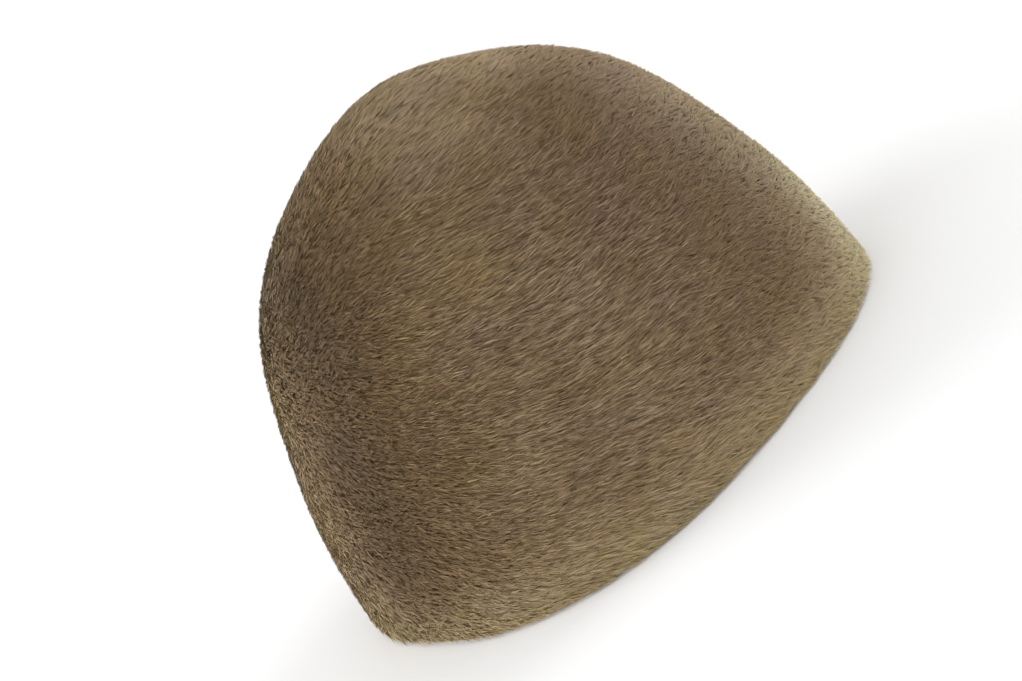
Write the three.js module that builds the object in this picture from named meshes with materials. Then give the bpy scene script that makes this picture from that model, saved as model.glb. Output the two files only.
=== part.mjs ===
import * as THREE from 'three';

// Cloche hat, shaped from one piece of soft brushed felt
// Millimetres, +Z up. The rim rests on z = 0 and the front of the hat faces -Y.
// The one body is hollow below for the head, and its edge is turned under as a hem.

// Main sizes of the felt
const CROWN_HEIGHT = 165.4;
const WALL = 3;
const SECTION_SQUARENESS = 2.4;
const FRONT_NARROWING = 0.06;

// Reach of the outer face on the way up the crown
// rise: degrees from the rim level (0) to the crown tip (90). The height is the
// crown height times the sine of it, and the section's half length and half
// width are the long and wide columns times its cosine.
const CROWN_ROWS = [
  { rise: 0, long: 114.5, wide: 99.3 },
  { rise: 7, long: 113.8, wide: 98.7 },
  { rise: 16, long: 113.4, wide: 98.3 },
  { rise: 28, long: 113.0, wide: 98.0 },
  { rise: 42, long: 116.3, wide: 100.9 },
  { rise: 58, long: 114.4, wide: 99.3 },
  { rise: 74, long: 98.6, wide: 85.7 },
  { rise: 90, long: 88.8, wide: 76.6 },
];

// Shallow places where the soft felt has given way
// turn: degrees from the front, growing toward the hat's left side (+X).
// A positive depth is a hollow and a negative one a swell.
const SOFT_SPOTS = [
  { turn: 203, rise: 38, spread: 24, depth: 1.3 },
  { turn: 262, rise: 50, spread: 20, depth: -0.8 },
  { turn: 38, rise: 34, spread: 26, depth: 1.2 },
  { turn: 104, rise: 26, spread: 22, depth: 0.9 },
  { turn: 292, rise: 22, spread: 20, depth: 0.7 },
];

// Turned hem at the rim
const HEM_THICKNESS = 6;
const HEM_HEIGHT = 13;
const EDGE_RADIUS = 2.1;
const HEM_STEP_RISE = 2.4;

// Fineness of the faces
const SEGMENTS = 72;
const OUTER_RINGS = 26;
const INNER_RINGS = 22;
const ARC_STEPS = 4;
const HEM_FACE_STEPS = 3;
const LAND_STEPS = 2;
const NORMAL_STEP = 0.01;

// Felt colour
const FELT_COLOUR = '#74624b';
const FELT_ROUGHNESS = 0.95;

const QUARTER_TURN = Math.PI / 2;

// Natural cubic spline through one column of the crown rows
function splineOf(rows, column) {
  const x = rows.map((row) => THREE.MathUtils.degToRad(row.rise));
  const y = rows.map((row) => row[column]);
  const last = x.length - 1;
  const bend = new Array(x.length).fill(0);
  const carry = new Array(x.length).fill(0);
  for (let i = 1; i < last; i += 1) {
    const share = (x[i] - x[i - 1]) / (x[i + 1] - x[i - 1]);
    const pivot = share * bend[i - 1] + 2;
    const after = (y[i + 1] - y[i]) / (x[i + 1] - x[i]);
    const before = (y[i] - y[i - 1]) / (x[i] - x[i - 1]);
    bend[i] = (share - 1) / pivot;
    carry[i] = ((6 * (after - before)) / (x[i + 1] - x[i - 1]) - share * carry[i - 1]) / pivot;
  }
  bend[last] = 0;
  for (let i = last - 1; i >= 0; i -= 1) {
    bend[i] = bend[i] * bend[i + 1] + carry[i];
  }
  return (at) => {
    let i = 0;
    while (i < last - 1 && at > x[i + 1]) {
      i += 1;
    }
    const width = x[i + 1] - x[i];
    const low = (x[i + 1] - at) / width;
    const high = (at - x[i]) / width;
    const curve = (low ** 3 - low) * bend[i] + (high ** 3 - high) * bend[i + 1];
    return low * y[i] + high * y[i + 1] + (curve * width * width) / 6;
  };
}

const longAt = splineOf(CROWN_ROWS, 'long');
const wideAt = splineOf(CROWN_ROWS, 'wide');

// Direction on a round ball for a rise and a turn, both in radians
function ballDirection(rise, turn) {
  return new THREE.Vector3(
    Math.cos(rise) * Math.sin(turn),
    -Math.cos(rise) * Math.cos(turn),
    Math.sin(rise),
  );
}

// How far the outer face is pressed in by the soft spots
function softDepth(rise, turn) {
  const here = ballDirection(rise, turn);
  let depth = 0;
  for (const spot of SOFT_SPOTS) {
    const centre = ballDirection(
      THREE.MathUtils.degToRad(spot.rise),
      THREE.MathUtils.degToRad(spot.turn),
    );
    const away = here.angleTo(centre) / THREE.MathUtils.degToRad(spot.spread);
    depth += spot.depth * Math.exp(-away * away);
  }
  return depth;
}

// Point on the blocked outer face before the soft spots
function blockedPoint(rise, turn) {
  const along = Math.abs(Math.cos(turn)) / longAt(rise);
  const narrowing = 1 - FRONT_NARROWING * Math.cos(turn);
  const across = Math.abs(Math.sin(turn)) / (wideAt(rise) * narrowing);
  const sum = along ** SECTION_SQUARENESS + across ** SECTION_SQUARENESS;
  const reach = Math.cos(rise) / sum ** (1 / SECTION_SQUARENESS);
  return new THREE.Vector3(
    reach * Math.sin(turn),
    -reach * Math.cos(turn),
    CROWN_HEIGHT * Math.sin(rise),
  );
}

// Outward direction square to the blocked face
function outward(rise, turn) {
  if (rise > QUARTER_TURN - 2 * NORMAL_STEP) {
    return new THREE.Vector3(0, 0, 1);
  }
  const up = blockedPoint(rise + NORMAL_STEP, turn).sub(blockedPoint(rise - NORMAL_STEP, turn));
  const round = blockedPoint(rise, turn + NORMAL_STEP).sub(blockedPoint(rise, turn - NORMAL_STEP));
  return round.cross(up).normalize();
}

// Point at a depth under the outer face
function feltPoint(rise, turn, depth) {
  const inward = depth + softDepth(rise, turn) * Math.cos(rise) * smoothRimFade(rise);
  return blockedPoint(rise, turn).addScaledVector(outward(rise, turn), -inward);
}

// The soft spots die out at the rim, which stays even on its rest plane
function smoothRimFade(rise) {
  return THREE.MathUtils.smoothstep(rise, 0, QUARTER_TURN / 4);
}

// Point of the hem at a depth and an exact height, measured level
function hemPoint(height, turn, depth) {
  const rise = Math.asin(height / CROWN_HEIGHT);
  const level = outward(rise, turn).setZ(0).normalize();
  const point = feltPoint(rise, turn, 0).addScaledVector(level, -depth);
  return point.setZ(height);
}

// Depth and height pairs of the hem, from the outer face round the edge and up inside
function hemOutline() {
  const outline = [];
  for (let i = 0; i <= ARC_STEPS; i += 1) {
    const angle = (QUARTER_TURN * i) / ARC_STEPS;
    outline.push({
      depth: EDGE_RADIUS * (1 - Math.cos(angle)),
      height: EDGE_RADIUS * (1 - Math.sin(angle)),
    });
  }
  const landWidth = HEM_THICKNESS - 2 * EDGE_RADIUS;
  for (let i = 1; i <= LAND_STEPS; i += 1) {
    outline.push({ depth: EDGE_RADIUS + (landWidth * i) / LAND_STEPS, height: 0 });
  }
  for (let i = 1; i <= ARC_STEPS; i += 1) {
    const angle = (QUARTER_TURN * i) / ARC_STEPS;
    outline.push({
      depth: HEM_THICKNESS - EDGE_RADIUS * (1 - Math.sin(angle)),
      height: EDGE_RADIUS * (1 - Math.cos(angle)),
    });
  }
  const faceTop = HEM_HEIGHT - HEM_STEP_RISE;
  for (let i = 1; i <= HEM_FACE_STEPS; i += 1) {
    const height = EDGE_RADIUS + ((faceTop - EDGE_RADIUS) * i) / HEM_FACE_STEPS;
    outline.push({ depth: HEM_THICKNESS, height });
  }
  for (let i = 1; i <= ARC_STEPS; i += 1) {
    const share = i / ARC_STEPS;
    const fall = THREE.MathUtils.smoothstep(share, 0, 1);
    outline.push({
      depth: HEM_THICKNESS - (HEM_THICKNESS - WALL) * fall,
      height: faceTop + HEM_STEP_RISE * share,
    });
  }
  return outline;
}

// Rings of points for the whole body, in order from the outer tip to the inner tip
function bodyRings() {
  const rings = [];
  const edgeRise = Math.asin(EDGE_RADIUS / CROWN_HEIGHT);
  for (let i = OUTER_RINGS - 1; i >= 1; i -= 1) {
    const rise = edgeRise + ((QUARTER_TURN - edgeRise) * i) / OUTER_RINGS;
    rings.push((turn) => feltPoint(rise, turn, 0));
  }
  for (const corner of hemOutline()) {
    rings.push((turn) => hemPoint(corner.height, turn, corner.depth));
  }
  const hemRise = Math.asin(HEM_HEIGHT / CROWN_HEIGHT);
  for (let i = 1; i < INNER_RINGS; i += 1) {
    const rise = hemRise + ((QUARTER_TURN - hemRise) * i) / INNER_RINGS;
    rings.push((turn) => feltPoint(rise, turn, WALL));
  }
  return rings;
}

// Closed body between two tips, with a band of faces between each pair of rings
function feltGeometry() {
  const rings = bodyRings();
  const positions = [0, 0, CROWN_HEIGHT];
  for (const ring of rings) {
    for (let s = 0; s < SEGMENTS; s += 1) {
      positions.push(...ring((2 * Math.PI * s) / SEGMENTS).toArray());
    }
  }
  positions.push(0, 0, CROWN_HEIGHT - WALL);
  const innerTip = 1 + rings.length * SEGMENTS;
  const corner = (ring, s) => 1 + ring * SEGMENTS + (s % SEGMENTS);
  const faces = [];
  for (let s = 0; s < SEGMENTS; s += 1) {
    faces.push(0, corner(0, s), corner(0, s + 1));
    faces.push(innerTip, corner(rings.length - 1, s + 1), corner(rings.length - 1, s));
    for (let r = 0; r < rings.length - 1; r += 1) {
      faces.push(corner(r, s), corner(r + 1, s), corner(r + 1, s + 1));
      faces.push(corner(r, s), corner(r + 1, s + 1), corner(r, s + 1));
    }
  }
  const geometry = new THREE.BufferGeometry();
  geometry.setAttribute('position', new THREE.Float32BufferAttribute(positions, 3));
  geometry.setIndex(faces);
  geometry.computeBoundingBox();
  const middle = geometry.boundingBox.getCenter(new THREE.Vector3());
  geometry.translate(-middle.x, -middle.y, 0);
  geometry.computeVertexNormals();
  return geometry;
}

const felt = new THREE.MeshStandardMaterial({
  color: FELT_COLOUR,
  roughness: FELT_ROUGHNESS,
  metalness: 0,
});
felt.name = 'brushed_felt';

const feltBody = new THREE.Mesh(feltGeometry(), felt);
feltBody.name = 'felt_body';

const hat = new THREE.Group();
hat.name = 'cloche_hat';
hat.add(feltBody);

export default hat;
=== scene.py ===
import math

import bpy
import numpy as np
from mathutils import Matrix, Vector


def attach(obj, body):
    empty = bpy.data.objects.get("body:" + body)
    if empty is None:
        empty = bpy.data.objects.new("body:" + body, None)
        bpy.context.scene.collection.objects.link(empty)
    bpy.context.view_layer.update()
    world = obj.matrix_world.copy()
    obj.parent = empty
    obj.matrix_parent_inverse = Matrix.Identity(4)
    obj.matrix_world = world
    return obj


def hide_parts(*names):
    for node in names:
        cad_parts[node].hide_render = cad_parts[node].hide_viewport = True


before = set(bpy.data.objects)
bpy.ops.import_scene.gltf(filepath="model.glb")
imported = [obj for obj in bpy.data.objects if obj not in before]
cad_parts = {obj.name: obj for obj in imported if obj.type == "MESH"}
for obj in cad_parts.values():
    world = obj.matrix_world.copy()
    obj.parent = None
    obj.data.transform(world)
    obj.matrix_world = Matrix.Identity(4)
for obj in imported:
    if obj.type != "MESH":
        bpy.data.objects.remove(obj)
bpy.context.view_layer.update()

# Cloche hat of velour felt: a felt shell, and its brushed nap as joined meshes of hairs
# A place on the hat is given by its rise and its turn in degrees. The rise goes from 0 at the
# rim to 90 at the crown's tip. The turn goes round from the front (-Y) toward the left (+X).
# A place with a spread fades softly around it, over about that many degrees.

MM = 0.001
QUARTER_TURN = math.pi / 2

# Felt sizes, as in the part's source
CROWN_HEIGHT = 165.4 * MM
WALL = 3 * MM
SECTION_SQUARENESS = 2.4
FRONT_NARROWING = 0.06
HEM_THICKNESS = 6 * MM
HEM_HEIGHT = 13 * MM
HEM_STEP_RISE = 2.4 * MM
EDGE_RADIUS = 2.1 * MM

# Half length and half width of the outer face in millimetres, before the cosine of the rise
CROWN_ROWS = [
    {"rise": 0, "long": 114.5, "wide": 99.3},
    {"rise": 7, "long": 113.8, "wide": 98.7},
    {"rise": 16, "long": 113.4, "wide": 98.3},
    {"rise": 28, "long": 113.0, "wide": 98.0},
    {"rise": 42, "long": 116.3, "wide": 100.9},
    {"rise": 58, "long": 114.4, "wide": 99.3},
    {"rise": 74, "long": 98.6, "wide": 85.7},
    {"rise": 90, "long": 88.8, "wide": 76.6},
]

# Shallow hollows and swells of the soft felt, depth in millimetres
SOFT_SPOTS = [
    {"turn": 203, "rise": 38, "spread": 24, "depth": 1.3},
    {"turn": 262, "rise": 50, "spread": 20, "depth": -0.8},
    {"turn": 38, "rise": 34, "spread": 26, "depth": 1.2},
    {"turn": 104, "rise": 26, "spread": 22, "depth": 0.9},
    {"turn": 292, "rise": 22, "spread": 20, "depth": 0.7},
]

# Fineness of the shell's faces
SHELL_SEGMENTS = 192
OUTER_RINGS = 96
INNER_RINGS = 40
ARC_STEPS = 6
NORMAL_STEP = 0.01

# Way the nap is brushed, as slopes by turn at some rises, all in degrees
# A slope of 0 lies along growing turn, 90 points up to the crown's tip and 180 lies the
# other way round the hat. The seen ones follow the photo, and the guessed ones are on the
# sides that it hides.
COMB_SEEN = [
    {"rise": 88, "slopes": {238: 0}},
    {"rise": 78, "slopes": {190: 38, 214: 12, 238: -8, 262: -18, 286: -22}},
    {"rise": 68, "slopes": {176: 38, 196: 18, 218: 4, 240: -8}},
    {"rise": 66, "slopes": {262: -6, 284: -6, 306: -30}},
    {"rise": 58, "slopes": {178: 30, 194: 8, 212: -6, 232: -16, 256: -20, 282: -9}},
    {"rise": 56, "slopes": {306: -24}},
    {"rise": 48, "slopes": {174: 14, 192: 0, 212: -5, 238: -13, 266: -14, 294: -4, 320: -14}},
    {"rise": 38, "slopes": {176: -10, 194: -6, 214: -8, 240: -10, 268: -5, 294: -9}},
    {"rise": 28, "slopes": {176: -15, 194: -3, 214: -8, 240: -7, 268: -7, 296: -8, 320: -16}},
    {"rise": 16, "slopes": {178: -6, 200: -14, 222: -5, 246: -9, 270: -11, 298: -20}},
    {"rise": 4, "slopes": {190: -5, 214: -15, 238: -20, 264: -17, 294: -20, 322: -22}},
]
COMB_GUESSED = [
    {"rise": 84, "slopes": {75: 180}},
    {"rise": 72, "slopes": {115: 65}},
    {"rise": 70, "slopes": {30: -85}},
    {"rise": 62, "slopes": {148: 34, 345: -40}},
    {"rise": 58, "slopes": {75: 0}},
    {"rise": 42, "slopes": {115: 5, 148: 4}},
    {"rise": 40, "slopes": {30: -10}},
    {"rise": 34, "slopes": {75: -4, 345: -10}},
    {"rise": 22, "slopes": {148: -12}},
    {"rise": 14, "slopes": {115: -10}},
    {"rise": 10, "slopes": {30: -12, 350: -18}},
    {"rise": 8, "slopes": {75: -12}},
    {"rise": 5, "slopes": {148: -8}},
]
COMB_SPREAD = 13

# Broad places where light and shade are painted into the brushed nap
# The tone is above 0 where painted light makes it lighter and below 0 where painted shade makes it
# darker, standing in for how the brushed nap and its backlit fuzz at the edges catch the light.
# The warmth is above 0 where it is more golden and below 0 where it is more grey. The last four
# are guessed.
PAINTED_LIGHT_AND_WARMTH_PATCHES = [
    {"turn": 280, "rise": 85, "spread": 18, "tone": 1.7, "warmth": 0.0},
    {"turn": 238, "rise": 73, "spread": 12, "tone": 1.5, "warmth": -0.2},
    {"turn": 266, "rise": 63, "spread": 10, "tone": 0.9, "warmth": -0.4},
    {"turn": 276, "rise": 74, "spread": 9, "tone": -0.7, "warmth": 0.0},
    {"turn": 320, "rise": 68, "spread": 13, "tone": 1.7, "warmth": -0.6},
    {"turn": 290, "rise": 55, "spread": 10, "tone": -0.4, "warmth": 0.2},
    {"turn": 326, "rise": 35, "spread": 12, "tone": 0.7, "warmth": 0.3},
    {"turn": 326, "rise": 9, "spread": 11, "tone": 3.0, "warmth": -0.8},
    {"turn": 158, "rise": 37, "spread": 12, "tone": 1.6, "warmth": 1.2},
    {"turn": 163, "rise": 16, "spread": 11, "tone": 1.6, "warmth": 1.2},
    {"turn": 206, "rise": 67, "spread": 9, "tone": -0.4, "warmth": 0.0},
    {"turn": 190, "rise": 60, "spread": 12, "tone": -0.2, "warmth": 0.9},
    {"turn": 175, "rise": 51, "spread": 8, "tone": -1.2, "warmth": 0.4},
    {"turn": 187, "rise": 46, "spread": 12, "tone": -1.0, "warmth": 2.0},
    {"turn": 194, "rise": 30, "spread": 15, "tone": -0.9, "warmth": 2.3},
    {"turn": 178, "rise": 27, "spread": 6, "tone": -0.6, "warmth": 0.0},
    {"turn": 186, "rise": 17, "spread": 11, "tone": -0.9, "warmth": 2.0},
    {"turn": 202, "rise": 48, "spread": 8, "tone": -0.5, "warmth": 0.0},
    {"turn": 228, "rise": 47, "spread": 11, "tone": 0.5, "warmth": 1.1},
    {"turn": 246, "rise": 33, "spread": 10, "tone": 0.4, "warmth": -0.4},
    {"turn": 272, "rise": 36, "spread": 12, "tone": -0.4, "warmth": -1.2},
    {"turn": 298, "rise": 40, "spread": 20, "tone": -0.7, "warmth": 0.8},
    {"turn": 296, "rise": 20, "spread": 14, "tone": -0.4, "warmth": 0.6},
    {"turn": 214, "rise": 28, "spread": 8, "tone": -0.3, "warmth": 0.3},
    {"turn": 222, "rise": 14, "spread": 11, "tone": 0.6, "warmth": 0.5},
    {"turn": 246, "rise": 13, "spread": 9, "tone": 0.6, "warmth": 0.0},
    {"turn": 306, "rise": 9, "spread": 10, "tone": 0.5, "warmth": 0.3},
    {"turn": 20, "rise": 55, "spread": 16, "tone": -0.8, "warmth": 0.8},
    {"turn": 62, "rise": 30, "spread": 16, "tone": 0.6, "warmth": -0.6},
    {"turn": 100, "rise": 62, "spread": 14, "tone": 0.6, "warmth": 0.4},
    {"turn": 124, "rise": 30, "spread": 15, "tone": -0.7, "warmth": 0.8},
]

# Nap near the rim, which is more golden and more olive, and lighter by painted light that stands
# in for the light from below
RIM_PAINTED_LIGHT = 2.2
RIM_WARMTH = 1.0
RIM_OLIVE = 0.5
RIM_BAND_HEIGHT = 36 * MM

# Broad areas where the nap is more olive than brown
OLIVE_AREAS = [
    {"turn": 330, "rise": 14, "spread": 24, "share": 1},
    {"turn": 120, "rise": 12, "spread": 18, "share": 1},
]

# Broad areas where the nap was combed into clear strands
# Elsewhere it is quiet: shorter, more even in tone and more ruffled. The scatter is in degrees.
CLEAR_AREAS = [
    {"turn": 242, "rise": 24, "spread": 42, "share": 1},
    {"turn": 66, "rise": 36, "spread": 36, "share": 1},
]
QUIET_CONTRAST = 0.15
CLEAR_CONTRAST = 1.35
QUIET_SCATTER = 14
CLEAR_SCATTER = 3
QUIET_LENGTH_SHARE = 0.65
CLEAR_LENGTH_SHARE = 1.0

# Smooth random change over the hat, as plane waves of some lengths in millimetres
# Sizes are degrees for the bend of the nap, a share for its lift and steps of its hue.
BEND_WAVES = [
    {"size": 5, "length": 40, "count": 8},
    {"size": 4, "length": 14, "count": 12},
    {"size": 3, "length": 6, "count": 16},
]
LIFT_WAVES = [
    {"size": 0.1, "length": 8, "count": 12},
]
HUE_WAVES = [
    {"size": 0.5, "length": 30, "count": 12},
    {"size": 0.5, "length": 6, "count": 16},
]

# Tufts of the nap, spread evenly over the outer face
# A tuft is several times longer than wide, and its tips draw in to a share of its width.
TUFT_SPACING = 0.91 * MM
TUFT_JITTER = 0.45
TUFTS_AT_TIP = 3
TUFT_RADIUS = 0.5 * MM
TUFT_LENGTHWISE = 4.0
TUFT_TIP_SHARE = 0.7
TUFT_LOWEST = -0.2 * MM
TUFT_HIGHEST = 1.6 * MM
NAP_START = 2.0 * MM
FINE_RISES = 2000
FINE_TURNS = 361

# How the tufts differ from each other
# A tuft that lifts more or lies higher is painted a little lighter, and one that lies lower a
# little darker, as painted light and shade of the nap around it. Its height is a share from 0 to 1.
TUFT_LIFT_SCATTER = 0.2
TUFT_TONE_SCATTER = 0.15
TUFT_HUE_SCATTER = 0.4
PAINTED_LIGHT_BY_LIFT = 0.5
PAINTED_LIGHT_BY_HEIGHT = 0.5
EVEN_TONE_HEIGHT = 0.7

# Hairs of a tuft, each a narrow triangle with its tip lifted off the felt
# The sway and the roll are in degrees. Normals lean from the felt's own toward the hair's.
HAIRS_PER_TUFT = 7
HAIR_LENGTH = 6.0 * MM
HAIR_LENGTH_SHARES = (0.6, 1.2)
HAIR_WIDTH = 0.34 * MM
HAIR_WIDTH_SHARES = (0.8, 1.2)
HAIR_TIP_LIFT = 1.1 * MM
HAIR_LIFT_SCATTER = 0.35
HAIR_LIFT_SHARES = (0.1, 2.0)
HAIR_SWAY = 4
HAIR_ROLL = 80
HAIR_LOWEST = 0.15 * MM
HAIR_TONE_SCATTER = 1.5
NORMAL_SHARE = 0.25

# Joined meshes of the nap, and the shares of its map cell that a tuft's hairs take up
NAP_PIECES = 5
CELL_LOW = 0.04
CELL_HIGH = 0.96
CELL_HAIR_WIDTH = 1.2
SEED = 11

# Colours along a ramp, as places from 0 to 1 and linear colours
# Painted shade: the felt under the nap is darker, standing in for the shade between the hairs
FELT_SHADED_UNDER_NAP = [(0.3, (0.16, 0.107, 0.056)), (0.7, (0.22, 0.147, 0.078))]
FELT_BARE = [(0.3, (0.25, 0.19, 0.115)), (0.7, (0.38, 0.295, 0.185))]
HAIR_BY_TONE = [(0.0, (0.047, 0.027, 0.011)), (0.5, (0.224, 0.146, 0.078)), (1.0, (0.49, 0.375, 0.23))]
TINT_BY_HUE = [(0.0, (1.04, 1.0, 0.76)), (0.5, (1.01, 0.995, 0.98)), (1.0, (1.0, 0.98, 1.17))]
TINT_BY_OLIVE = [(0.0, (1.015, 1.0, 0.995)), (1.0, (0.90, 1.0, 0.93))]

# Ranges and fine noise that the colours are worked out from
TONE_RANGE = (-3, 3)
HUE_RANGE = (-3, 3)
NOISE_RANGE = (0.3, 0.7)
# Painted shade: each hair is darker toward its root, where the nap above shades it
PAINTED_SHADE_ROOT_TO_TIP = (0.6, 1.08)
LIGHT_IN_BLOTCHES = (0.95, 1.05)
BLOTCH_NOISE_SCALE = 22
BLOTCH_NOISE_DETAIL = 2
FELT_NOISE_SCALE = 900
FELT_NOISE_DETAIL = 3
FELT_BUMP_STRENGTH = 0.5
FELT_BUMP_HEIGHT = 0.4 * MM

# Floor with painted light: it glows a little far from the hat, standing in for a lit studio sweep,
# and a white sky that is brighter near the floor than overhead
FLOOR_SIZE = 40.0
FLOOR_WHITE = (0.94, 0.94, 0.94, 1.0)
PAINTED_GLOW_RANGE = (0.9, 3.5)
PAINTED_GLOW_STRENGTH = 0.35
SKY_AT_FLOOR = 1.5
SKY_OVERHEAD = 0.6
PURE_WHITE = (1.0, 1.0, 1.0, 1.0)

# Soft lights that point at the hat, sizes in metres and power in watts
LIGHTS = [
    {"name": "key", "turn": 352, "rise": 11, "wide": 2.4, "high": 1.33, "power": 99},
    {"name": "far_side", "turn": 130, "rise": 13, "wide": 2.4, "high": 1.6, "power": 85},
    {"name": "low_fill", "turn": 195, "rise": 11, "wide": 3.2, "high": 1.33, "power": 57},
]
LIGHT_DISTANCE = 4.0

# Camera, as the photo was taken. Azimuth 0 looks along +Y.
CAMERA_AZIMUTH = -120.0
CAMERA_ELEVATION = 16.6
CAMERA_ROLL = 37.4
CAMERA_DISTANCE = 1.399
CAMERA_FAR_LIMIT = 100.0
TARGET_HEIGHT = 0.0829
PICTURE_WIDTH = 1022
FOCAL_PIXELS = 3730
SENSOR_WIDTH = 36.0
AIM_RIGHT = -0.0121
AIM_UP = -0.0228

rng = np.random.default_rng(SEED)


# Shape of the felt

def spline_through(rows, column):
    """Natural cubic spline of one column of the crown rows over the rise in radians."""
    x = np.radians([row["rise"] for row in rows])
    y = np.array([row[column] for row in rows]) * MM
    step = np.diff(x)
    count = len(x)
    system = np.eye(count)
    right = np.zeros(count)
    for i in range(1, count - 1):
        system[i, i - 1:i + 2] = step[i - 1], 2 * (step[i - 1] + step[i]), step[i]
        right[i] = 6 * ((y[i + 1] - y[i]) / step[i] - (y[i] - y[i - 1]) / step[i - 1])
    bend = np.linalg.solve(system, right)

    def value(at):
        i = np.clip(np.searchsorted(x, at) - 1, 0, count - 2)
        low = (x[i + 1] - at) / step[i]
        high = (at - x[i]) / step[i]
        curve = (low ** 3 - low) * bend[i] + (high ** 3 - high) * bend[i + 1]
        return low * y[i] + high * y[i + 1] + curve * step[i] ** 2 / 6

    return value


long_at = spline_through(CROWN_ROWS, "long")
wide_at = spline_through(CROWN_ROWS, "wide")


def unit(vectors):
    return vectors / np.linalg.norm(vectors, axis=-1, keepdims=True)


def smoothstep(at, low, high):
    share = np.clip((at - low) / (high - low), 0, 1)
    return share * share * (3 - 2 * share)


def ball_direction(rise, turn):
    """Direction on a round ball for a rise and a turn in radians."""
    parts = np.cos(rise) * np.sin(turn), -np.cos(rise) * np.cos(turn), np.sin(rise)
    return np.stack(np.broadcast_arrays(*parts), -1)


def nearness(here, rise, turn, spread):
    """Share at each direction: 1 at a rise and a turn in degrees, fading over the spread."""
    centre = ball_direction(math.radians(rise), math.radians(turn))
    away = np.arccos(np.clip(here @ centre, -1, 1)) / math.radians(spread)
    return np.exp(-away * away)


def soft_sum(rows, column, here):
    """Sum of one column of some places, each fading softly round its middle."""
    return sum(row[column] * nearness(here, row["rise"], row["turn"], row["spread"]) for row in rows)


def soft_depth(rise, turn):
    """How far the soft spots press the outer face in. They die out at the rim."""
    depth = soft_sum(SOFT_SPOTS, "depth", ball_direction(rise, turn)) * MM
    return depth * np.cos(rise) * smoothstep(rise, 0, QUARTER_TURN / 4)


def blocked_point(rise, turn):
    """Point on the blocked outer face before the soft spots."""
    along = np.abs(np.cos(turn)) / long_at(rise)
    across = np.abs(np.sin(turn)) / (wide_at(rise) * (1 - FRONT_NARROWING * np.cos(turn)))
    total = along ** SECTION_SQUARENESS + across ** SECTION_SQUARENESS
    reach = np.cos(rise) / total ** (1 / SECTION_SQUARENESS)
    parts = reach * np.sin(turn), -reach * np.cos(turn), CROWN_HEIGHT * np.sin(rise)
    return np.stack(np.broadcast_arrays(*parts), -1)


def surface_frame(rise, turn):
    """Unit directions of growing turn, of growing rise and outward, on the blocked face."""
    rise = np.minimum(rise, QUARTER_TURN - 2 * NORMAL_STEP)
    upward = blocked_point(rise + NORMAL_STEP, turn) - blocked_point(rise - NORMAL_STEP, turn)
    turnward = blocked_point(rise, turn + NORMAL_STEP) - blocked_point(rise, turn - NORMAL_STEP)
    outward = unit(np.cross(turnward, upward))
    turnward = unit(turnward)
    return turnward, np.cross(outward, turnward), outward


def felt_point(rise, turn, depth):
    """Point at a depth under the outer face."""
    outward = surface_frame(rise, turn)[2]
    near_tip = smoothstep(rise, QUARTER_TURN - 3 * NORMAL_STEP, QUARTER_TURN - NORMAL_STEP)[..., None]
    outward = unit(outward * (1 - near_tip) + np.array([0, 0, 1]) * near_tip)
    return blocked_point(rise, turn) - outward * (depth + soft_depth(rise, turn))[..., None]


def hem_point(height, turn, depth):
    """Point of the hem at an exact height and at a level depth."""
    rise = np.full_like(turn, math.asin(height / CROWN_HEIGHT))
    level = surface_frame(rise, turn)[2] * np.array([1, 1, 0])
    point = felt_point(rise, turn, 0) - unit(level) * depth
    point[..., 2] = height
    return point


def hem_outline():
    """Depth and height pairs from the outer face, round the edge and up the inside."""
    outline = []
    arc = [QUARTER_TURN * i / ARC_STEPS for i in range(ARC_STEPS + 1)]
    for angle in arc:
        depth = EDGE_RADIUS * (1 - math.cos(angle))
        height = EDGE_RADIUS * (1 - math.sin(angle))
        outline.append((depth, height))
    for angle in arc:
        depth = HEM_THICKNESS - EDGE_RADIUS * (1 - math.sin(angle))
        height = EDGE_RADIUS * (1 - math.cos(angle))
        outline.append((depth, height))
    face_top = HEM_HEIGHT - HEM_STEP_RISE
    outline.append((HEM_THICKNESS, (EDGE_RADIUS + face_top) / 2))
    for i in range(ARC_STEPS + 1):
        share = i / ARC_STEPS
        depth = HEM_THICKNESS - (HEM_THICKNESS - WALL) * smoothstep(share, 0, 1)
        outline.append((depth, face_top + HEM_STEP_RISE * share))
    return outline


def middle_of_shape():
    """Middle of the shape's box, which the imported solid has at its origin."""
    turns = np.linspace(0, 2 * math.pi, SHELL_SEGMENTS, endpoint=False)
    rises = np.linspace(0, QUARTER_TURN / 2, OUTER_RINGS)
    rise, turn = np.meshgrid(rises, turns, indexing="ij")
    points = felt_point(rise, turn, 0).reshape(-1, 3)
    return (points.min(0) + points.max(0)) / 2 * np.array([1, 1, 0])


MIDDLE = middle_of_shape()


# Mesh helpers

def new_object(name, points, corners, corner_counts):
    """Mesh object from flat arrays of points and of polygon corners."""
    mesh = bpy.data.meshes.new(name)
    mesh.vertices.add(len(points))
    mesh.vertices.foreach_set("co", points.astype(np.float32).ravel())
    mesh.loops.add(len(corners))
    mesh.loops.foreach_set("vertex_index", corners.astype(np.int32))
    starts = np.concatenate([[0], np.cumsum(corner_counts)[:-1]])
    mesh.polygons.add(len(corner_counts))
    mesh.polygons.foreach_set("loop_start", starts.astype(np.int32))
    mesh.update(calc_edges=True)
    made = bpy.data.objects.new(name, mesh)
    bpy.context.scene.collection.objects.link(made)
    return made


def set_point_values(made, name, values):
    layer = made.data.attributes.new(name, "FLOAT", "POINT")
    layer.data.foreach_set("value", values.astype(np.float32))


# Felt shell

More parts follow.
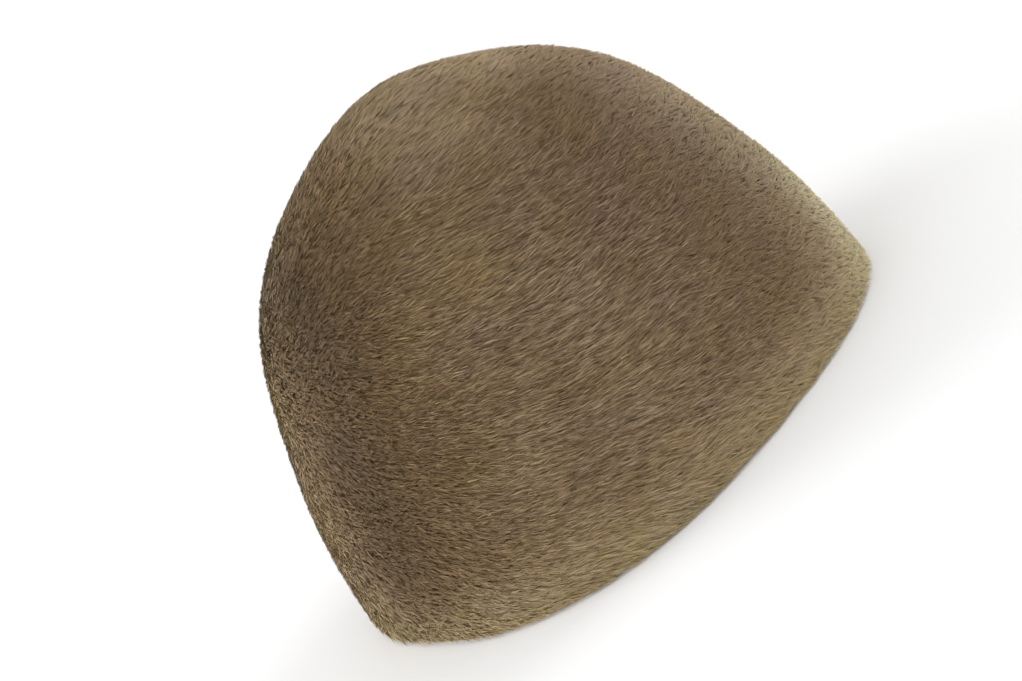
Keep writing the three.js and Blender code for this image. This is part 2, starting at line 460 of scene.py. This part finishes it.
def shell_rings():
    """Rings of points from the outer tip to the inner tip, and how bare of nap each is."""
    turn = np.linspace(0, 2 * math.pi, SHELL_SEGMENTS, endpoint=False)
    edge_rise = math.asin(EDGE_RADIUS / CROWN_HEIGHT)
    hem_rise = math.asin(HEM_HEIGHT / CROWN_HEIGHT)
    rings = []
    bareness = []
    for share in np.arange(OUTER_RINGS - 1, 0, -1) / OUTER_RINGS:
        rise = np.full_like(turn, edge_rise + (QUARTER_TURN - edge_rise) * share)
        rings.append(felt_point(rise, turn, 0))
        bareness.append(0.0)
    for depth, height in hem_outline():
        rings.append(hem_point(height, turn, depth))
        bareness.append(1.0)
    for share in np.arange(1, INNER_RINGS) / INNER_RINGS:
        rise = np.full_like(turn, hem_rise + (QUARTER_TURN - hem_rise) * share)
        rings.append(felt_point(rise, turn, WALL))
        bareness.append(1.0)
    return np.array(rings), np.array(bareness)


def build_shell():
    """Closed shell of quads between its rings, with a fan of triangles at each tip."""
    rings, bareness = shell_rings()
    count = len(rings)
    tips = np.array([[0, 0, CROWN_HEIGHT], [0, 0, CROWN_HEIGHT - WALL]])
    points = np.concatenate([rings.reshape(-1, 3), tips]) - MIDDLE
    index = np.arange(count * SHELL_SEGMENTS).reshape(count, SHELL_SEGMENTS)
    after = np.roll(index, -1, axis=1)
    quads = np.stack([index[:-1], index[1:], after[1:], after[:-1]], -1).reshape(-1, 4)
    outer_tip = np.full(SHELL_SEGMENTS, count * SHELL_SEGMENTS)
    fans = np.concatenate([
        np.stack([outer_tip, index[0], after[0]], -1),
        np.stack([outer_tip + 1, after[-1], index[-1]], -1),
    ])
    corners = np.concatenate([quads.ravel(), fans.ravel()])
    counts = np.concatenate([np.full(len(quads), 4), np.full(len(fans), 3)])
    made = new_object("felt_shell", points, corners, counts)
    made.data.shade_smooth()
    set_point_values(made, "bare", np.append(np.repeat(bareness, SHELL_SEGMENTS), [0.0, 1.0]))
    return made


# Nap

def lengths_along(points):
    """Distance from the first point to each point of a line."""
    steps = np.linalg.norm(np.diff(points, axis=0), axis=1)
    return np.concatenate([[0], np.cumsum(steps)])


def tuft_places():
    """Rise and turn of the tufts, evenly spread over the outer face with some jitter."""
    fine_rise = np.linspace(math.asin(NAP_START / CROWN_HEIGHT), QUARTER_TURN, FINE_RISES)
    reached_up = lengths_along(blocked_point(fine_rise, np.full_like(fine_rise, QUARTER_TURN / 2)))
    row_count = int(reached_up[-1] / TUFT_SPACING)
    fine_turn = np.linspace(0, 2 * math.pi, FINE_TURNS)
    rises = []
    turns = []
    for row in range(row_count):
        height = (row + 0.5) * reached_up[-1] / row_count
        rise = np.interp(height, reached_up, fine_rise)
        reached_round = lengths_along(blocked_point(np.full_like(fine_turn, rise), fine_turn))
        count = max(TUFTS_AT_TIP, round(reached_round[-1] / TUFT_SPACING))
        along = (np.arange(count) + rng.uniform(-TUFT_JITTER, TUFT_JITTER, count)) / count + rng.random()
        half_step = np.interp(height + 0.5 * TUFT_SPACING, reached_up, fine_rise) - rise
        rises.append(rise + half_step * rng.uniform(-2 * TUFT_JITTER, 2 * TUFT_JITTER, count))
        turns.append(np.interp((along % 1.0) * reached_round[-1], reached_round, fine_turn))
    return np.concatenate(rises), np.concatenate(turns)


def wavering(points, waves):
    """Smooth random value over space, from plane waves of random directions."""
    total = np.zeros(len(points))
    for row in waves:
        directions = unit(rng.normal(size=(row["count"], 3))) * 2 * math.pi / (row["length"] * MM)
        phases = rng.uniform(0, 2 * math.pi, row["count"])
        total += row["size"] * np.sin(points @ directions.T + phases).sum(-1) / math.sqrt(row["count"])
    return total


def comb_direction(here, outward):
    """Brushed direction at each place, from the comb slopes weighted by how near they are."""
    total = np.zeros_like(here)
    for row in COMB_SEEN + COMB_GUESSED:
        for turn, degrees in row["slopes"].items():
            slope = math.radians(degrees)
            turnward, upward, _ = surface_frame(math.radians(row["rise"]), math.radians(turn))
            brushed = turnward * math.cos(slope) + upward * math.sin(slope)
            total += brushed * nearness(here, row["rise"], turn, COMB_SPREAD)[:, None]
    total -= outward * (total * outward).sum(-1, keepdims=True)
    return unit(total)


def quiet_to_clear(quiet_value, clear_value, clear):
    return quiet_value + (clear_value - quiet_value) * clear


def make_tufts():
    """Place, directions and looks of every tuft, as arrays by name."""
    rise, turn = tuft_places()
    count = len(rise)
    outward = surface_frame(rise, turn)[2]
    centre = felt_point(rise, turn, 0) - MIDDLE
    here = ball_direction(rise, turn)
    clear = np.clip(soft_sum(CLEAR_AREAS, "share", here), 0, 1)
    contrast = quiet_to_clear(QUIET_CONTRAST, CLEAR_CONTRAST, clear)

    combed = comb_direction(here, outward)
    sideways = np.cross(outward, combed)
    scatter = quiet_to_clear(QUIET_SCATTER, CLEAR_SCATTER, clear)
    bend = np.radians(wavering(centre, BEND_WAVES) + rng.normal(0, 1, count) * scatter)[:, None]
    lay = combed * np.cos(bend) + sideways * np.sin(bend)
    side = sideways * np.cos(bend) - combed * np.sin(bend)

    height_share = rng.random(count)
    height = TUFT_LOWEST + (TUFT_HIGHEST - TUFT_LOWEST) * height_share
    centre = centre + outward * height[:, None]
    lift = rng.normal(0, TUFT_LIFT_SCATTER, count) + wavering(centre, LIFT_WAVES)

    # Band near the rim, which gets painted light and is more golden and more olive
    near_rim = 1 - smoothstep(centre[:, 2], 0, RIM_BAND_HEIGHT)
    # The tuft's random tone, plus painted light and shade by its lift and by its height
    tone_and_painted_light = TUFT_TONE_SCATTER * rng.normal(0, 1, count) + PAINTED_LIGHT_BY_LIFT * lift
    tone_and_painted_light += PAINTED_LIGHT_BY_HEIGHT * (height_share - EVEN_TONE_HEIGHT)
    # The broad patches add painted light and shade to the tone
    tone = tone_and_painted_light * contrast + soft_sum(PAINTED_LIGHT_AND_WARMTH_PATCHES, "tone", here) + RIM_PAINTED_LIGHT * near_rim
    hue = wavering(centre, HUE_WAVES) + rng.normal(0, TUFT_HUE_SCATTER, count)
    hue -= soft_sum(PAINTED_LIGHT_AND_WARMTH_PATCHES, "warmth", here) + RIM_WARMTH * near_rim ** 3
    olive = np.clip(soft_sum(OLIVE_AREAS, "share", here) + RIM_OLIVE * near_rim ** 3, 0, 1)
    return {
        "turn": turn, "centre": centre, "lay": lay, "side": side, "outward": outward, "clear": clear,
        "contrast": contrast, "lift": lift, "tone": tone, "hue": hue, "olive": olive,
    }


def make_hairs(tufts):
    """Corner points, normal and tone of every hair, with a row of hairs for each tuft."""
    tuft = {name: np.repeat(values, HAIRS_PER_TUFT, axis=0) for name, values in tufts.items()}
    side, lay, outward = tuft["side"], tuft["lay"], tuft["outward"]
    count = len(tuft["turn"])
    angle = rng.uniform(0, 2 * math.pi, count)
    spread = TUFT_RADIUS * np.sqrt(rng.random(count))
    across = (spread * np.cos(angle))[:, None]
    along = (spread * np.sin(angle))[:, None] * TUFT_LENGTHWISE

    length_share = quiet_to_clear(QUIET_LENGTH_SHARE, CLEAR_LENGTH_SHARE, tuft["clear"])[:, None]
    length = HAIR_LENGTH * length_share * rng.uniform(*HAIR_LENGTH_SHARES, count)[:, None]
    lift_share = (1 + tuft["lift"] + rng.normal(0, HAIR_LIFT_SCATTER, count))[:, None]
    lift = np.clip(lift_share, *HAIR_LIFT_SHARES) * length_share * HAIR_TIP_LIFT
    sway = np.tan(np.radians(rng.normal(0, HAIR_SWAY, count)))[:, None]
    root = tuft["centre"] + side * across + lay * along
    tip_across = across * TUFT_TIP_SHARE + sway * length
    tip = tuft["centre"] + side * tip_across + lay * (along + length) + outward * lift

    roll = np.radians(rng.uniform(-HAIR_ROLL, HAIR_ROLL, count))[:, None]
    flat = side * np.cos(roll) + outward * np.sin(roll)
    half_width = HAIR_WIDTH / 2 * rng.uniform(*HAIR_WIDTH_SHARES, count)[:, None]
    points = np.stack([root - flat * half_width, root + flat * half_width, tip], axis=1)
    points[..., 2] = np.maximum(points[..., 2], HAIR_LOWEST)

    facing = unit(np.cross(points[:, 1] - points[:, 0], points[:, 2] - points[:, 0]))
    turned_in = (facing * outward).sum(-1) < 0
    points[turned_in, :2] = points[turned_in, 1::-1]
    facing[turned_in] *= -1
    normal = unit(outward * (1 - NORMAL_SHARE) + facing * NORMAL_SHARE)
    tone = rng.normal(0, HAIR_TONE_SCATTER, count) * tuft["contrast"] + tuft["tone"]
    rows = len(tufts["turn"]), HAIRS_PER_TUFT
    return points.reshape(*rows, 3, 3), normal.reshape(*rows, 3), tone.reshape(rows)


def hair_map(tuft_count):
    """Map places of every hair's corners, with a square cell for each tuft."""
    grid = math.ceil(math.sqrt(tuft_count))
    number = np.arange(tuft_count)
    cell = np.stack([number % grid, number // grid], -1)[:, None, None, :]
    middle = (np.arange(HAIRS_PER_TUFT) + 0.5) / HAIRS_PER_TUFT
    half = CELL_HAIR_WIDTH / HAIRS_PER_TUFT / 2
    low = np.full(HAIRS_PER_TUFT, CELL_LOW)
    high = np.full(HAIRS_PER_TUFT, CELL_HIGH)
    corners = [(middle - half, low), (middle + half, low), (middle, high)]
    inside = np.stack([np.stack(corner, -1) for corner in corners], axis=1)
    return np.clip((cell + inside) / grid, 0, 1)


def nap_piece(name, points, normal, tone, hue, olive):
    """One joined mesh of hairs, with the looks as values at its points."""
    tuft_count = len(points)
    hair_count = tuft_count * HAIRS_PER_TUFT
    piece = new_object(name, points.reshape(-1, 3), np.arange(hair_count * 3), np.full(hair_count, 3))
    piece.data.normals_split_custom_set_from_vertices(np.repeat(normal.reshape(-1, 3), 3, axis=0))
    set_point_values(piece, "tone", np.repeat(tone.ravel(), 3))
    set_point_values(piece, "hue", np.repeat(hue, HAIRS_PER_TUFT * 3))
    set_point_values(piece, "olive", np.repeat(olive, HAIRS_PER_TUFT * 3))
    set_point_values(piece, "along", np.tile([0.0, 0.0, 1.0], hair_count))
    layer = piece.data.uv_layers.new(name="OFBake")
    layer.data.foreach_set("uv", hair_map(tuft_count).astype(np.float32).ravel())
    return piece


def build_nap():
    """The nap as joined meshes round the hat. The hairs of each tuft are in order of tone."""
    tufts = make_tufts()
    points, normal, tone = make_hairs(tufts)
    order = np.argsort(tone, axis=1)
    points = np.take_along_axis(points, order[..., None, None], axis=1)
    normal = np.take_along_axis(normal, order[..., None], axis=1)
    tone = np.take_along_axis(tone, order, axis=1)
    pieces = []
    by_turn = np.argsort(tufts["turn"], kind="stable")
    for number, chosen in enumerate(np.array_split(by_turn, NAP_PIECES), start=1):
        looks = tone[chosen], tufts["hue"][chosen], tufts["olive"][chosen]
        pieces.append(nap_piece(f"nap_{number}", points[chosen], normal[chosen], *looks))
    return pieces


# Materials

def new_material(name, inputs):
    """Material, its node tree and its shader, with some of the shader's inputs set."""
    material = bpy.data.materials.new(name)
    material.use_nodes = True
    shader = material.node_tree.nodes["Principled BSDF"]
    for input_name, value in inputs.items():
        shader.inputs[input_name].default_value = value
    return material, material.node_tree, shader


def colour_ramp(tree, source, stops):
    """Colour for the source value, between stops that each have a place and a colour."""
    node = tree.nodes.new("ShaderNodeValToRGB")
    elements = node.color_ramp.elements
    while len(elements) < len(stops):
        elements.new(0.5)
    for element, (position, colour) in zip(elements, stops):
        element.position = position
        element.color = (*colour, 1.0)
    tree.links.new(source, node.inputs["Fac"])
    return node.outputs["Color"]


def noise(tree, scale, detail):
    place = tree.nodes.new("ShaderNodeTexCoord")
    node = tree.nodes.new("ShaderNodeTexNoise")
    node.inputs["Scale"].default_value = scale
    node.inputs["Detail"].default_value = detail
    tree.links.new(place.outputs["Object"], node.inputs["Vector"])
    return node.outputs["Fac"]


def attribute(tree, name):
    node = tree.nodes.new("ShaderNodeAttribute")
    node.attribute_name = name
    return node.outputs["Fac"]


def ranged(tree, source, source_range, result_range):
    """The source value moved from one range to another, and held inside it."""
    node = tree.nodes.new("ShaderNodeMapRange")
    node.inputs["From Min"].default_value, node.inputs["From Max"].default_value = source_range
    node.inputs["To Min"].default_value, node.inputs["To Max"].default_value = result_range
    tree.links.new(source, node.inputs["Value"])
    return node.outputs["Result"]


def tinted(tree, colour, tint):
    node = tree.nodes.new("ShaderNodeVectorMath")
    node.operation = "MULTIPLY"
    tree.links.new(colour, node.inputs[0])
    tree.links.new(tint, node.inputs[1])
    return node.outputs["Vector"]


def shaded(tree, colour, light):
    node = tree.nodes.new("ShaderNodeVectorMath")
    node.operation = "SCALE"
    tree.links.new(colour, node.inputs[0])
    tree.links.new(light, node.inputs["Scale"])
    return node.outputs["Vector"]


def shell_material():
    """Felt under the nap with painted shade, dark between the hairs; plain felt at the edge and inside.
    """
    inputs = {"Roughness": 0.95, "Specular IOR Level": 0.15}
    material, tree, shader = new_material("felt", inputs)
    mottle = noise(tree, FELT_NOISE_SCALE, FELT_NOISE_DETAIL)
    mix = tree.nodes.new("ShaderNodeMix")
    mix.data_type = "RGBA"
    # Painted shade under the nap, plain felt where the felt is bare
    tree.links.new(attribute(tree, "bare"), mix.inputs["Factor"])
    tree.links.new(colour_ramp(tree, mottle, FELT_SHADED_UNDER_NAP), mix.inputs["A"])
    tree.links.new(colour_ramp(tree, mottle, FELT_BARE), mix.inputs["B"])
    tree.links.new(mix.outputs["Result"], shader.inputs["Base Color"])
    bump = tree.nodes.new("ShaderNodeBump")
    bump.inputs["Strength"].default_value = FELT_BUMP_STRENGTH
    bump.inputs["Distance"].default_value = FELT_BUMP_HEIGHT
    tree.links.new(mottle, bump.inputs["Height"])
    tree.links.new(bump.outputs["Normal"], shader.inputs["Normal"])
    return material


def nap_material():
    """Hair colour by tone, hue and olive share, with painted shade darker toward the root, and soft
    blotches.
    """
    inputs = {
        "Roughness": 0.55,
        "Specular IOR Level": 0.12,
        "Sheen Weight": 0.3,
        "Sheen Roughness": 0.3,
        "Sheen Tint": (0.95, 0.9, 0.55, 1.0),
    }
    material, tree, shader = new_material("nap", inputs)
    tone = ranged(tree, attribute(tree, "tone"), TONE_RANGE, (0, 1))
    hue = ranged(tree, attribute(tree, "hue"), HUE_RANGE, (0, 1))
    # Painted shade toward each hair's root
    along = ranged(tree, attribute(tree, "along"), (0, 1), PAINTED_SHADE_ROOT_TO_TIP)
    blotch_noise = noise(tree, BLOTCH_NOISE_SCALE, BLOTCH_NOISE_DETAIL)
    blotches = ranged(tree, blotch_noise, NOISE_RANGE, LIGHT_IN_BLOTCHES)
    colour = colour_ramp(tree, tone, HAIR_BY_TONE)
    colour = tinted(tree, colour, colour_ramp(tree, hue, TINT_BY_HUE))
    colour = tinted(tree, colour, colour_ramp(tree, attribute(tree, "olive"), TINT_BY_OLIVE))
    colour = shaded(tree, colour, along)
    colour = shaded(tree, colour, blotches)
    tree.links.new(colour, shader.inputs["Base Color"])
    return material


def floor_material():
    """Matt white floor with painted light: it glows far from the hat, standing in for a lit studio
    sweep.
    """
    inputs = {
        "Roughness": 0.9,
        "Specular IOR Level": 0.1,
        "Base Color": FLOOR_WHITE,
        "Emission Color": PURE_WHITE,
    }
    material, tree, shader = new_material("floor_paint", inputs)
    place = tree.nodes.new("ShaderNodeTexCoord")
    distance = tree.nodes.new("ShaderNodeVectorMath")
    distance.operation = "LENGTH"
    tree.links.new(place.outputs["Object"], distance.inputs[0])
    # Painted light: the floor glows more the farther it is from the hat
    glow = ranged(tree, distance.outputs["Value"], PAINTED_GLOW_RANGE, (0, PAINTED_GLOW_STRENGTH))
    tree.links.new(glow, shader.inputs["Emission Strength"])
    return material


# Floor, sky, lights and camera

def build_floor():
    corners = np.array([[-1, -1, 0], [1, -1, 0], [1, 1, 0], [-1, 1, 0]])
    made = new_object("floor", corners * FLOOR_SIZE / 2, np.arange(4), np.array([4]))
    made.data.materials.append(floor_material())
    return made


def add_sky():
    """White sky that is brighter near the floor than overhead."""
    world = bpy.data.worlds.new("studio")
    bpy.context.scene.world = world
    world.use_nodes = True
    tree = world.node_tree
    place = tree.nodes.new("ShaderNodeTexCoord")
    height = tree.nodes.new("ShaderNodeSeparateXYZ")
    tree.links.new(place.outputs["Generated"], height.inputs["Vector"])
    light = ranged(tree, height.outputs["Z"], (0, 1), (SKY_AT_FLOOR, SKY_OVERHEAD))
    tree.links.new(light, tree.nodes["Background"].inputs["Strength"])
    tree.nodes["Background"].inputs["Color"].default_value = PURE_WHITE


def add_light(row, target):
    direction = Vector(ball_direction(math.radians(row["rise"]), math.radians(row["turn"])))
    lamp = bpy.data.lights.new(row["name"], "AREA")
    lamp.shape = "RECTANGLE"
    lamp.size = row["wide"]
    lamp.size_y = row["high"]
    lamp.energy = row["power"]
    light = bpy.data.objects.new(row["name"], lamp)
    light.location = target + direction * LIGHT_DISTANCE
    light.rotation_euler = direction.to_track_quat("Z", "Y").to_euler()
    bpy.context.scene.collection.objects.link(light)


def add_camera(target):
    """Camera at the photo's angle, aimed a little beside the target and then rolled."""
    azimuth = math.radians(CAMERA_AZIMUTH)
    elevation = math.radians(CAMERA_ELEVATION)
    level = math.cos(elevation)
    back = Vector((math.sin(azimuth) * level, -math.cos(azimuth) * level, math.sin(elevation)))
    right = Vector((0, 0, 1)).cross(back).normalized()
    up = back.cross(right)
    place = target + back * CAMERA_DISTANCE
    aim = target + right * AIM_RIGHT + up * AIM_UP
    facing = (place - aim).to_track_quat("Z", "Y").to_matrix()
    rolled = facing @ Matrix.Rotation(-math.radians(CAMERA_ROLL), 3, "Z")
    lens = bpy.data.cameras.new("camera")
    lens.sensor_width = SENSOR_WIDTH
    lens.lens = SENSOR_WIDTH * FOCAL_PIXELS / PICTURE_WIDTH
    lens.clip_end = CAMERA_FAR_LIMIT
    camera = bpy.data.objects.new("camera", lens)
    camera.matrix_world = Matrix.Translation(place) @ rolled.to_4x4()
    bpy.context.scene.collection.objects.link(camera)
    bpy.context.scene.camera = camera


# The hat and its studio

shell = build_shell()
shell.data.materials.append(shell_material())
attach(shell, "root")
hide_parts("felt_body")

nap_look = nap_material()
for nap in build_nap():
    nap.data.materials.append(nap_look)
    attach(nap, "root")

floor = build_floor()
add_sky()
target = Vector((0, 0, TARGET_HEIGHT))
for light_row in LIGHTS:
    add_light(light_row, target)
add_camera(target)
bpy.context.scene.view_settings.view_transform = "Standard"
